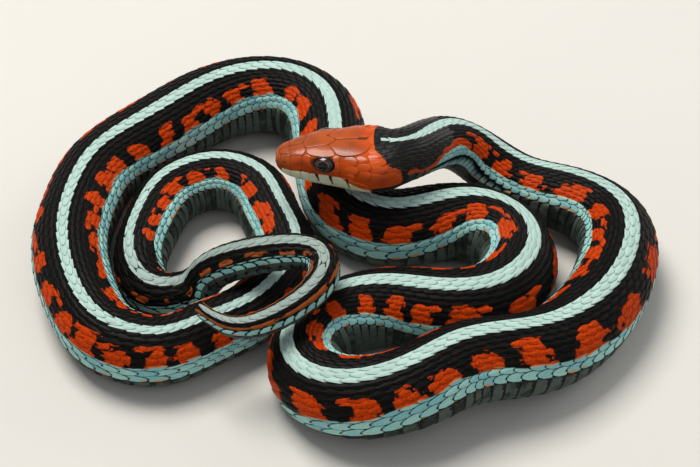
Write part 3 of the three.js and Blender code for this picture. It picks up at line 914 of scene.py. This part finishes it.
def head_plates():
    """Every plate of the head as one piece, each a closed cap over the skin."""
    points, quads, triangles, sheet, lie, zone = [], [], [], [], [], []
    chance = np.random.default_rng(SEED + 200)
    first = 0
    plates = [(name, plate_rings(outline)) for name, outline in head_outlines().items()]
    plates.append(("rostral", rostral_rings()))
    levels = len(PLATE_RINGS)
    for name, rings in plates:
        count = rings.shape[1]
        s = rings[:levels, :, 0]
        around = rings[:levels, :, 1]
        height = np.broadcast_to(np.array(PLATE_RISE)[:, None], s.shape) - PLATE_SINK
        body = surface(s, around, height)
        middle_s = rings[-1:, 0, 0]
        middle_a = rings[-1:, 0, 1]
        if name == "rostral":
            centre = body[-1].mean(axis=0, keepdims=True)
            under = centre + LINE.along[:1] * 0.3
        else:
            centre = surface(middle_s, middle_a, np.array([PLATE_MIDDLE]))
            under = surface(middle_s, middle_a, np.array([PLATE_UNDERSIDE]))
        points += [body.reshape(-1, 3), centre.reshape(-1, 3), under.reshape(-1, 3)]
        j = np.arange(count)
        k = (j + 1) % count
        turned_over = name != "rostral" and signed_area(rings[0]) < 0
        order = slice(None, None, -1 if turned_over else 1)
        for level in range(levels - 1):
            a = first + level * count
            quads.append(np.stack([a + j, a + k, a + count + k, a + count + j], axis=1)[:, order])
        inner = first + (levels - 1) * count
        top = first + levels * count
        triangles.append(np.stack([inner + j, inner + k, np.full(count, top)], axis=1)[:, order])
        triangles.append(np.stack([first + k, first + j, np.full(count, top + 1)], axis=1)[:, order])
        flat_s = np.concatenate([s.ravel(), middle_s, middle_s])
        flat_a = np.concatenate([around.ravel(), middle_a, middle_a])
        sheet.append(unwrap(flat_s, flat_a))
        inward = np.concatenate([np.repeat(PLATE_RINGS, count), [0.0, 0.0]])
        tone = np.full(len(flat_s), chance.random())
        lie.append(np.stack([np.full(len(flat_s), 0.5), inward ** 8, tone, inward], axis=-1))
        _, cheek = head_colour(flat_s, flat_a)
        marks = pale_lip(name, flat_s, flat_a), dark_mark(name, flat_s, flat_a)
        zone.append(np.stack([cheek, *marks], axis=-1))
        first += levels * count + 2
    attributes = {"lie": np.concatenate(lie), "head_zone": np.concatenate(zone)}
    return new_mesh("head_plates", np.concatenate(points), np.concatenate(quads),
                    [np.concatenate(triangles)], attributes, np.concatenate(sheet))


def cheek_leaf():
    """A broad round-ended scale with a low crown."""
    along = (0.0, 0.2, 0.45, 0.7, 0.86, 0.95, 1.0)
    outline = ((0.0, 0.2, 0.45, 0.7, 0.86, 0.95, 1.0), (0.70, 0.92, 1.0, 0.93, 0.74, 0.48, 0.24))

    def height(a, b):
        return np.interp(a, (0.0, 0.88, 1.0), (-0.10, 0.17, 0.10)) - 0.10 * b * b

    return Leaf(along, np.linspace(-1, 1, 11), outline, height, 0.14)


def cheek_scales():
    """The overlapping scales between the crown plates, the lips and the neck."""
    chance = np.random.default_rng(SEED + 300)
    rows = [(s, side * angle, length, half, chance.random())
            for side in (-1, 1) for s, angle, length, half in CHEEK_SCALES]
    return leaf_coat("cheek_scales", cheek_leaf(), *np.array(rows).T, sink=HEAD_SINK)


def signed_area(ring):
    """Positive where the outline turns from the tail's side toward greater angles."""
    x, y = ring[:, 0], ring[:, 1]
    return float(np.sum(x * np.roll(y, -1) - np.roll(x, -1) * y))


def pale_lip(name, s, around):
    """How pale a plate is: the lips below the orange of the cheek, and all of the chin."""
    if "upper_labial" in name:
        return smooth_step(-2.0, 2.0, np.abs(around) - np.interp(s, *PALE_LIP_TOPS))
    if "labial" in name or "chin" in name or name == "mental":
        return np.ones(len(s))
    if name == "rostral":
        return np.full(len(s), 0.35)
    return np.zeros(len(s))


def dark_mark(name, s, around):
    """Black bars where the pale lip plates meet, and a smudge behind the middle of the crown."""
    if "upper_labial" in name:
        half = np.interp(np.abs(around), (89, 106), (0.44, 0.14))
        lean = (np.abs(around) - 96) * 0.03
        return np.max([np.exp(-((s - lean - at) / half) ** 2) for at in LIP_BARS], axis=0)
    if "parietal" in name:
        return smooth_step(15.4, 16.4, s) * np.exp(-(around / 2.4) ** 2) * 0.8
    return np.zeros(len(s))


def throat_scales():
    """Small scales between the chin shields and the first broad plates of the belly."""
    table = []
    stations = np.arange(5.0, 23.0, 1.35)
    rows = enumerate(np.arange(-44, 45, 8.0))
    for s, (row, a) in itertools.product(stations, rows):
        shifted = s + (0.65 if row % 2 else 0.0)
        edge = 180.0 - (mouth_angle(min(shifted, JAW_LENGTH)) + LOWER_LABIAL_DEPTH)
        clear = abs(a) > 28 or shifted > 10.2
        if abs(a) < edge - 3 and clear:
            table.append((shifted, 180.0 + a, 2.3, 5.4, 0.5))
    return leaf_coat("throat_scales", PLAIN_LEAF, *np.array(table).T)


def deselect_all():
    bpy.ops.object.select_all(action="DESELECT")


def make_eye(name, sign, diameter):
    """A wet ball, a little flattened, that fills its opening and looks out to the side."""
    half = diameter / 2
    at, angle, radius, per_degree = EYE_OPENING
    reach = radius / per_degree
    front, back, above, below = place(np.array([at - radius, at + radius, at, at]),
                                      sign * np.array([angle, angle, angle - reach, angle + reach]))
    across = (below - above) / np.linalg.norm(below - above)
    out = np.cross(back - front, across) * sign
    out /= np.linalg.norm(out)
    upright = Matrix([np.cross(across, out), across, out]).transposed()
    middle = (above + below) / 2 + out * (EYE_BULGE - EYE_HALF_DEPTH)
    half_height = np.linalg.norm(below - above) / 2 * EYE_FILL * MM
    deselect_all()
    bpy.ops.mesh.primitive_uv_sphere_add(segments=56, ring_count=40, radius=half, location=(0, 0, 0))
    ball = bpy.context.object
    ball.name = name
    ball.data.name = name
    layer = ball.data.attributes.new("gaze", "FLOAT", "POINT")
    for vertex, value in zip(ball.data.vertices, layer.data):
        value.value = math.acos(max(-1.0, min(1.0, vertex.co.z / half))) / (math.pi / 2)
    ball.scale = (1, half_height / half, EYE_HALF_DEPTH * MM / half)
    ball.rotation_euler = upright.to_euler()
    ball.location = Vector(middle) * MM
    bpy.ops.object.transform_apply(location=True, rotation=True, scale=True)
    bpy.ops.object.shade_smooth()
    return ball


def eye_rim(name, sign):
    """A thin dark roll round the eye."""
    turns = 64
    section_sides = 8
    half_width = 0.12
    half_height = 0.13
    at, angle, radius, per_degree = EYE_OPENING
    turn = np.linspace(0, 2 * np.pi, turns, endpoint=False)
    roll = np.linspace(0, 2 * np.pi, section_sides, endpoint=False)
    t, r = grid(turn, roll)
    reach = radius + half_width * np.cos(r)
    s = at + reach * np.cos(t)
    around = sign * (angle + reach * np.sin(t) / per_degree)
    points = surface(s, around, half_height * np.sin(r) - PLATE_SINK).reshape(-1, 3)
    quads = grid_quads(turns, section_sides, closed_rows=True, closed_columns=True)
    if sign < 0:
        quads = quads[:, ::-1]
    return new_mesh(name, points, quads)


class Value:
    """A number that a material's nodes work out, with plain arithmetic on it."""

    def __init__(self, look, socket):
        self.look = look
        self.socket = socket

    def __add__(self, other):
        return self.look.math("ADD", self, other)

    def __radd__(self, other):
        return self.look.math("ADD", other, self)

    def __sub__(self, other):
        return self.look.math("SUBTRACT", self, other)

    def __mul__(self, other):
        return self.look.math("MULTIPLY", self, other)


class Surface:
    """The nodes of one material, added and linked in a few words."""

    def __init__(self, name, colours, roughness, coat=0.0, coat_roughness=0.1, specular=0.5):
        self.colours = colours
        self.material = bpy.data.materials.new(name)
        self.material.use_nodes = True
        self.tree = self.material.node_tree
        self.shader = self.tree.nodes["Principled BSDF"]
        self.shader.inputs["Roughness"].default_value = roughness
        self.shader.inputs["Specular IOR Level"].default_value = specular
        self.shader.inputs["Coat Weight"].default_value = coat
        self.shader.inputs["Coat Roughness"].default_value = coat_roughness

    def node(self, kind, inputs=(), **settings):
        node = self.tree.nodes.new(kind)
        for key, value in settings.items():
            setattr(node, key, value)
        for key, value in dict(inputs).items():
            self.feed(node.inputs[key], value)
        return node

    def feed(self, socket, value):
        """Links a value to a socket, or sets a number or the snake's colour of that name on it."""
        if isinstance(value, Value):
            value = value.socket
        elif isinstance(value, str):
            value = (*getattr(self.colours, value), 1.0)
        if isinstance(value, bpy.types.NodeSocket):
            self.tree.links.new(value, socket)
        else:
            socket.default_value = value

    def attribute(self, name):
        """Red, green, blue and alpha of an attribute of the mesh."""
        source = self.node("ShaderNodeAttribute", attribute_name=name)
        split = self.node("ShaderNodeSeparateColor", {"Color": source.outputs["Color"]})
        return [Value(self, socket) for socket in (*split.outputs, source.outputs["Alpha"])]

    def number(self, name):
        return Value(self, self.node("ShaderNodeAttribute", attribute_name=name).outputs["Fac"])

    def math(self, operation, *values):
        node = self.node("ShaderNodeMath", enumerate(values), operation=operation)
        return Value(self, node.outputs[0])

    def ramp(self, value, low, high, start=0.0, end=1.0):
        inputs = {"Value": value, "From Min": low, "From Max": high, "To Min": start, "To Max": end}
        node = self.node("ShaderNodeMapRange", inputs, interpolation_type="SMOOTHSTEP")
        return Value(self, node.outputs["Result"])

    def noise(self, scale, detail=3.0):
        """Even noise on the object's own coordinates; scale counts its lumps in a metre."""
        where = self.node("ShaderNodeTexCoord").outputs["Object"]
        node = self.node("ShaderNodeTexNoise", {"Vector": where, "Scale": scale, "Detail": detail})
        return Value(self, node.outputs["Fac"])

    def blend(self, factor, below, above, how="MIX"):
        inputs = {"Factor": factor, 6: below, 7: above}
        return Value(self, self.node("ShaderNodeMix", inputs, data_type="RGBA", blend_type=how).outputs[2])

    def shade(self, colour, brightness):
        """The colour made lighter or darker."""
        grey = self.node("ShaderNodeCombineColor", dict.fromkeys(range(3), brightness))
        return self.blend(1.0, colour, grey.outputs[0], "MULTIPLY")

    def finish(self, colour, bump_height=None, bump_distance=0.0):
        self.feed(self.shader.inputs["Base Color"], colour)
        if bump_height is not None:
            inputs = {"Height": bump_height, "Distance": bump_distance, "Strength": 1.0}
            self.feed(self.shader.inputs["Normal"], self.node("ShaderNodeBump", inputs).outputs["Normal"])
        return self.material


def coat_material(name, colours, is_skin=False, roughness=0.45, specular=0.06):
    """Scales coloured by their place on the body; the skin between them is darker."""
    look = Surface(name, colours, roughness=roughness, specular=specular)
    stripe, blotch, flank, belly = look.attribute("markings")
    along, edge, tone, side = look.attribute("lie")
    head, cheek, tail, _ = look.attribute("zone")
    lumps = look.noise(520.0)
    grain = look.noise(2600.0)
    ragged = (lumps - 0.5) * 0.8
    chance = (tone - 0.5) * 0.5

    red = look.blend(look.ramp(grain, 0.3, 0.7), "blotch", "blotch_deep")
    red = look.blend(tail * 0.9, red, "tail_blotch")
    stripe_colour = look.blend(tail, "stripe", "tail_stripe")
    stripe_colour = look.shade(stripe_colour, 0.90 + tone * 0.12 + grain * 0.08)
    tip_line = look.ramp(along, 0.90, 0.99) * look.ramp(tone, 0.35, 0.7)
    stripe_colour = look.blend(tip_line * 0.45, stripe_colour, "ground_brown")

    flank_colour = look.blend(look.ramp(tone + ragged, 0.25, 0.9), "flank", "flank_blue")
    flank_colour = look.shade(flank_colour, 0.75 + grain * 0.5)
    flank_edge = look.ramp(edge + ragged * 0.3 + tail * 0.16, 0.60, 0.86)
    flank_colour = look.blend(flank_edge, flank_colour, "ground")
    # the belly's grey-green is darkened as painted shade, with a near-black painted shadow laid over it in
    # random clouds
    shaded_belly_colour = look.blend(look.ramp(lumps + chance, 0.35, 0.75), "belly", "belly_shadow_dark")

    # from the black ground outward: keels with their painted highlight, blotches, cream edges, flanks,
    # flecks, the belly in painted shade, stripe
    ground = look.blend(look.ramp(grain + ragged, 0.5, 0.9), "ground", "ground_brown")
    # brown along each keel, partly a painted highlight on the ridge
    keel = look.ramp(side, 0.16, 0.04) * look.ramp(tone + ragged, 0.3, 0.8)
    ground = look.blend(keel * 0.5, ground, "keel")
    colour = look.blend(look.ramp(blotch + ragged + chance * 1.5, 0.42, 0.58), ground, red)
    cream = look.ramp(flank + chance, 0.28, 0.40) * look.ramp(blotch + grain, 0.7, 1.3)
    colour = look.blend(cream * 0.7, colour, "cream")
    colour = look.blend(look.ramp(flank + ragged * 0.5 + chance * 0.6, 0.4, 0.6), colour, flank_colour)
    fleck = look.ramp(belly, -1.6, -0.4) * look.ramp(tone + lumps, 1.15, 1.35)
    colour = look.blend(fleck * look.ramp(along, 0.45, 0.7), colour, "cream")
    colour = look.blend(look.ramp(belly, 0.4, 0.6), colour, shaded_belly_colour)
    colour = look.blend(look.ramp(stripe + ragged * 0.2, 0.42, 0.58), colour, stripe_colour)
    # the head over them all
    orange = look.shade(look.blend(cheek, "crown", "cheek"), 0.8 + grain * 0.35)
    colour = look.blend(look.ramp(head + ragged * 0.3 + chance * 0.5, 0.4, 0.6), colour, orange)
    if is_skin:
        colour = look.blend(look.ramp(head, 0.3, 0.7, 0.96, 0.12), colour, "between")
    return look.finish(colour, grain * 0.6 + edge * -0.3, 0.00006)


def scales_material(colours):
    """The material that most of the coats share."""
    return bpy.data.materials.get("scales") or coat_material("scales", colours)


def plate_material(colours):
    """Smooth glossy plates of the head, orange with pale lips."""
    look = Surface("head plate", colours, roughness=0.30, coat=0.12, specular=0.26)
    _, edge, tone, _ = look.attribute("lie")
    cheek, lip, dark, _ = look.attribute("head_zone")
    clouds = look.noise(300.0)
    grain = look.noise(3200.0)
    crown = look.blend(look.ramp(clouds, 0.35, 0.65), "crown", "crown_brown")
    side = look.blend(look.ramp(clouds, 0.35, 0.7), "cheek", "cheek_deep")
    colour = look.blend(cheek, crown, side)
    pale = look.blend(look.ramp(clouds, 0.3, 0.7), "lip", "lip_green")
    colour = look.blend(look.ramp(lip + (clouds - 0.5) * 0.6, 0.4, 0.7), colour, pale)
    colour = look.shade(colour, 0.86 + tone * 0.12 + grain * 0.12)
    colour = look.blend(look.ramp(dark + clouds * 0.5, 0.75, 1.0), colour, "ground")
    colour = look.blend(look.ramp(edge, 0.6, 1.0) * 0.16, colour, "suture")
    return look.finish(colour, grain * 0.3 + clouds * 1.5, 0.00005)


def eye_material(colours):
    """A dark iris with a faint paler ring, and a round black pupil, under a wet surface."""
    look = Surface("eye", colours, roughness=0.12, coat=0.45, coat_roughness=0.02, specular=0.35)
    gaze = look.number("gaze")
    iris = look.blend(look.ramp(look.noise(2600.0, 4.0), 0.3, 0.7), "iris", "iris_rim")
    ring = look.ramp(gaze, 0.31, 0.34) * look.ramp(gaze, 0.44, 0.35)
    iris = look.blend(ring * 0.5, iris, "iris_ring")
    colour = look.blend(look.ramp(gaze, 0.33, 0.31), iris, "pupil")
    return look.finish(look.blend(look.ramp(gaze, 0.52, 0.78), colour, "eye_edge"))


def rim_material(colours):
    """The dark skin round the eye."""
    look = Surface("eye rim", colours, roughness=0.35, coat=0.3)
    grain = look.noise(2500.0)
    return look.finish(look.blend(look.ramp(grain, 0.35, 0.65), "iris", "ground_brown"), grain, 0.00004)


def floor_material(colours):
    """A pale floor with the faintest of clouds."""
    look = Surface("pale floor", colours, roughness=0.85)
    return look.finish(look.shade("floor", look.ramp(look.noise(14.0), 0.2, 0.8, 0.97, 1.0)))


def colour_property(name, description, value):
    return FloatVectorProperty(name=name, description=description, subtype="COLOR", size=3,
                               min=0.0, max=1.0, default=value)


class SnakeSizes(bpy.types.PropertyGroup):
    eye_diameter: FloatProperty(
        name="Eye diameter", description="Width of each eye",
        default=0.0043, min=0.002, max=0.007, unit="LENGTH", precision=4)
    floor_width: FloatProperty(
        name="Floor width", description="Width of the floor round the snake",
        default=4.0, min=0.5, max=10.0, unit="LENGTH")
    camera_distance: FloatProperty(
        name="Camera distance", description="Distance from the camera to the middle of the coil",
        default=0.36364, min=0.2, max=2.0, unit="LENGTH")
    camera_pitch: FloatProperty(
        name="Camera pitch", description="How far the camera looks down",
        default=math.radians(45), subtype="ANGLE")
    lens: FloatProperty(
        name="Lens", description="Focal length of the camera in millimetres",
        default=92.57, min=20.0, max=300.0)


class SnakeColours(bpy.types.PropertyGroup):
    stripe: colour_property("Stripe", "Pale line along the back", (0.39, 0.54, 0.49))
    tail_stripe: colour_property("Tail stripe", "The pale line on the tail", (0.27, 0.34, 0.31))
    ground: colour_property("Ground", "Black between the markings", (0.0035, 0.0038, 0.0036))
    ground_brown: colour_property("Ground brown", "Brown cast in the black", (0.010, 0.0065, 0.005))
    # brown along the keels of the black scales, partly a painted highlight on each ridge
    keel: colour_property("Keel", "Brown along the keels of the black scales", (0.045, 0.020, 0.011))
    blotch: colour_property("Blotch", "Red blotches", (0.56, 0.052, 0.001))
    blotch_deep: colour_property("Blotch shade", "Deeper red in the blotches", (0.36, 0.028, 0.001))
    tail_blotch: colour_property("Tail blotch", "Brown spots along the tail", (0.24, 0.066, 0.014))
    cream: colour_property("Cream", "Pale orange edges and flecks of the flanks", (0.55, 0.27, 0.10))
    flank: colour_property("Flank", "Turquoise of the flanks", (0.34, 0.62, 0.57))
    flank_blue: colour_property("Flank shade", "Bluer turquoise of the flanks", (0.22, 0.49, 0.50))
    # grey-green belly plates, darkened as painted shade
    belly: colour_property("Belly", "Plates of the belly", (0.075, 0.098, 0.083))
    # near-black painted shadow of the belly, laid over it in random clouds
    belly_shadow_dark: colour_property("Belly shade", "Darker clouds on the belly", (0.019, 0.024, 0.020))
    crown: colour_property("Crown", "Top of the head", (0.37, 0.062, 0.005))
    crown_brown: colour_property("Crown shade", "Browner top of the head", (0.26, 0.046, 0.006))
    cheek: colour_property("Cheek", "Sides of the head", (0.57, 0.074, 0.003))
    cheek_deep: colour_property("Cheek shade", "Deeper orange of the cheeks", (0.42, 0.046, 0.002))
    lip: colour_property("Lip", "Pale plates of the lips and chin", (0.82, 0.78, 0.50))
    lip_green: colour_property("Lip shade", "Greener part of the lips", (0.56, 0.64, 0.48))
    suture: colour_property("Suture", "Grooves between the plates of the head", (0.24, 0.030, 0.004))
    between: colour_property("Between", "Skin between the scales", (0.012, 0.011, 0.010))
    iris: colour_property("Iris", "The iris of the eye", (0.034, 0.015, 0.010))
    iris_rim: colour_property("Iris rim", "Darker part of the iris", (0.012, 0.006, 0.004))
    iris_ring: colour_property("Iris ring", "Paler ring round the pupil", (0.20, 0.11, 0.07))
    pupil: colour_property("Pupil", "The pupil of the eye", (0.002, 0.002, 0.002))
    eye_edge: colour_property("Eye edge", "The eye where it passes under its rim", (0.004, 0.003, 0.003))
    floor: colour_property("Floor", "The pale floor", (0.62, 0.60, 0.56))


BODY_NODES = ["head", "lower_jaw", "neck", *(f"body_{k}" for k in range(1, 11)),
              *(f"tail_{k}" for k in range(1, 7))]


def dress(piece, material):
    """Gives a finished piece its material and its place on the model."""
    piece.data.materials.clear()
    piece.data.materials.append(material)
    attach(piece, "root")


class SNAKE_OT_skin(bpy.types.Operator):
    """Builds the one closed skin that lies under all the scales"""
    bl_idname = "snake.skin"
    bl_label = "Skin"

    def execute(self, context):
        skin = make_skin()
        dress(skin, coat_material("skin", context.scene.snake_colours, True))
        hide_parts(*BODY_NODES)
        return {"FINISHED"}


class SNAKE_OT_back_scales(bpy.types.Operator):
    """Lays the keeled scales of the back and flanks, stretch by stretch"""
    bl_idname = "snake.back_scales"
    bl_label = "Back and flank scales"

    def execute(self, context):
        colours = context.scene.snake_colours
        material = scales_material(colours)
        glossy = coat_material("nape", colours, roughness=0.34, specular=0.24)
        for name, start, end, rows in COAT_STRETCHES:
            for piece in coat_stretch(name, start, end, rows):
                look = glossy if name == "nape_scales" else material
                dress(piece, look)
        return {"FINISHED"}


class SNAKE_OT_belly(bpy.types.Operator):
    """Lays the broad plates of the belly and the pairs under the tail"""
    bl_idname = "snake.belly"
    bl_label = "Belly plates"

    def execute(self, context):
        material = scales_material(context.scene.snake_colours)
        for piece, slot in zip(belly_scutes(), ("body_skin", "tail_skin")):
            dress(piece, material)
        return {"FINISHED"}


class SNAKE_OT_head(bpy.types.Operator):
    """Lays the plates of the head and the small scales of the throat"""
    bl_idname = "snake.head"
    bl_label = "Head plates and throat"

    def execute(self, context):
        colours = context.scene.snake_colours
        plates = plate_material(colours)
        dress(head_plates(), plates)
        dress(cheek_scales(), plates)
        dress(throat_scales(), scales_material(colours))
        return {"FINISHED"}


class SNAKE_OT_eyes(bpy.types.Operator):
    """Sets both eyes with their rims"""
    bl_idname = "snake.eyes"
    bl_label = "Eyes"

    def execute(self, context):
        colours = context.scene.snake_colours
        ball = eye_material(colours)
        rim = rim_material(colours)
        for side, sign in (("left", -1), ("right", 1)):
            eye = make_eye("eyeball_" + side, sign, context.scene.snake_sizes.eye_diameter)
            dress(eye, ball)
            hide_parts("eye_" + side)
            dress(eye_rim("eye_rim_" + side, sign), rim)
        return {"FINISHED"}


class SNAKE_OT_stage(bpy.types.Operator):
    """Makes the pale floor, the soft lights and the camera"""
    bl_idname = "snake.stage"
    bl_label = "Stage"

    def execute(self, context):
        sizes = context.scene.snake_sizes
        deselect_all()
        bpy.ops.mesh.primitive_plane_add(size=sizes.floor_width, location=(0, 0, 0))
        floor = context.object
        floor.name = "floor"
        floor.data.materials.append(floor_material(context.scene.snake_colours))
        for light in LIGHTS:
            add_light(*light)
        world = bpy.data.worlds.new("soft_room")
        world.use_nodes = True
        background = world.node_tree.nodes["Background"]
        background.inputs["Color"].default_value = (0.92, 0.95, 1.0, 1.0)
        background.inputs["Strength"].default_value = 0.34
        context.scene.world = world
        context.scene.view_settings.view_transform = "Standard"
        add_camera(sizes)
        return {"FINISHED"}


# Name, power, width, place and colour of each light.
LIGHTS = (
    ("key_light", 13.0, 0.55, (-0.3, 0.35, 0.95), (1.0, 0.97, 0.92)),
    ("fill_light", 1.6, 1.2, (0.5, -0.7, 0.8), (0.93, 0.96, 1.0)),
    ("rim_light", 2.0, 0.5, (0.7, 0.5, 0.35), (1.0, 0.98, 0.95)),
)


def add_light(name, power, width, location, colour):
    """A square soft light that looks at the middle of the coil."""
    deselect_all()
    turned = (-Vector(location)).to_track_quat("-Z", "Y").to_euler()
    bpy.ops.object.light_add(type="AREA", location=location, rotation=turned)
    light = bpy.context.object
    light.name = name
    light.data.shape = "SQUARE"
    light.data.size = width
    light.data.energy = power
    light.data.color = colour


def add_camera(sizes):
    """Looks down at the coil from the side toward which the head's left eye faces."""
    pitch = sizes.camera_pitch
    target = Vector((ROUTE_SHIFT[0] * MM, ROUTE_SHIFT[1] * MM, 0))
    offset = Vector((0, -math.cos(pitch), math.sin(pitch))) * sizes.camera_distance
    deselect_all()
    bpy.ops.object.camera_add(location=target + offset, rotation=(math.pi / 2 - pitch, 0, 0))
    camera = bpy.context.object
    camera.data.lens = sizes.lens
    camera.data.clip_start = 0.01
    bpy.context.scene.camera = camera


class SNAKE_PT_panel(bpy.types.Panel):
    bl_label = "Garter snake"
    bl_idname = "SNAKE_PT_panel"
    bl_space_type = "VIEW_3D"
    bl_region_type = "UI"
    bl_category = "Snake"

    def draw(self, context):
        for step in STEPS:
            self.layout.operator(step.bl_idname)
        for group in (context.scene.snake_sizes, context.scene.snake_colours):
            for key in group.__annotations__:
                self.layout.prop(group, key)


STEPS = (SNAKE_OT_skin, SNAKE_OT_back_scales, SNAKE_OT_belly, SNAKE_OT_head, SNAKE_OT_eyes, SNAKE_OT_stage)
CLASSES = (SnakeSizes, SnakeColours) + STEPS + (SNAKE_PT_panel,)


def register():
    for item in CLASSES:
        bpy.utils.register_class(item)
    bpy.types.Scene.snake_sizes = PointerProperty(type=SnakeSizes)
    bpy.types.Scene.snake_colours = PointerProperty(type=SnakeColours)


def unregister():
    del bpy.types.Scene.snake_colours
    del bpy.types.Scene.snake_sizes
    for item in reversed(CLASSES):
        bpy.utils.unregister_class(item)


def main():
    register()
    bpy.ops.snake.skin()
    bpy.ops.snake.back_scales()
    bpy.ops.snake.belly()
    bpy.ops.snake.head()
    bpy.ops.snake.eyes()
    bpy.ops.snake.stage()


if __name__ == "__main__":
    main()
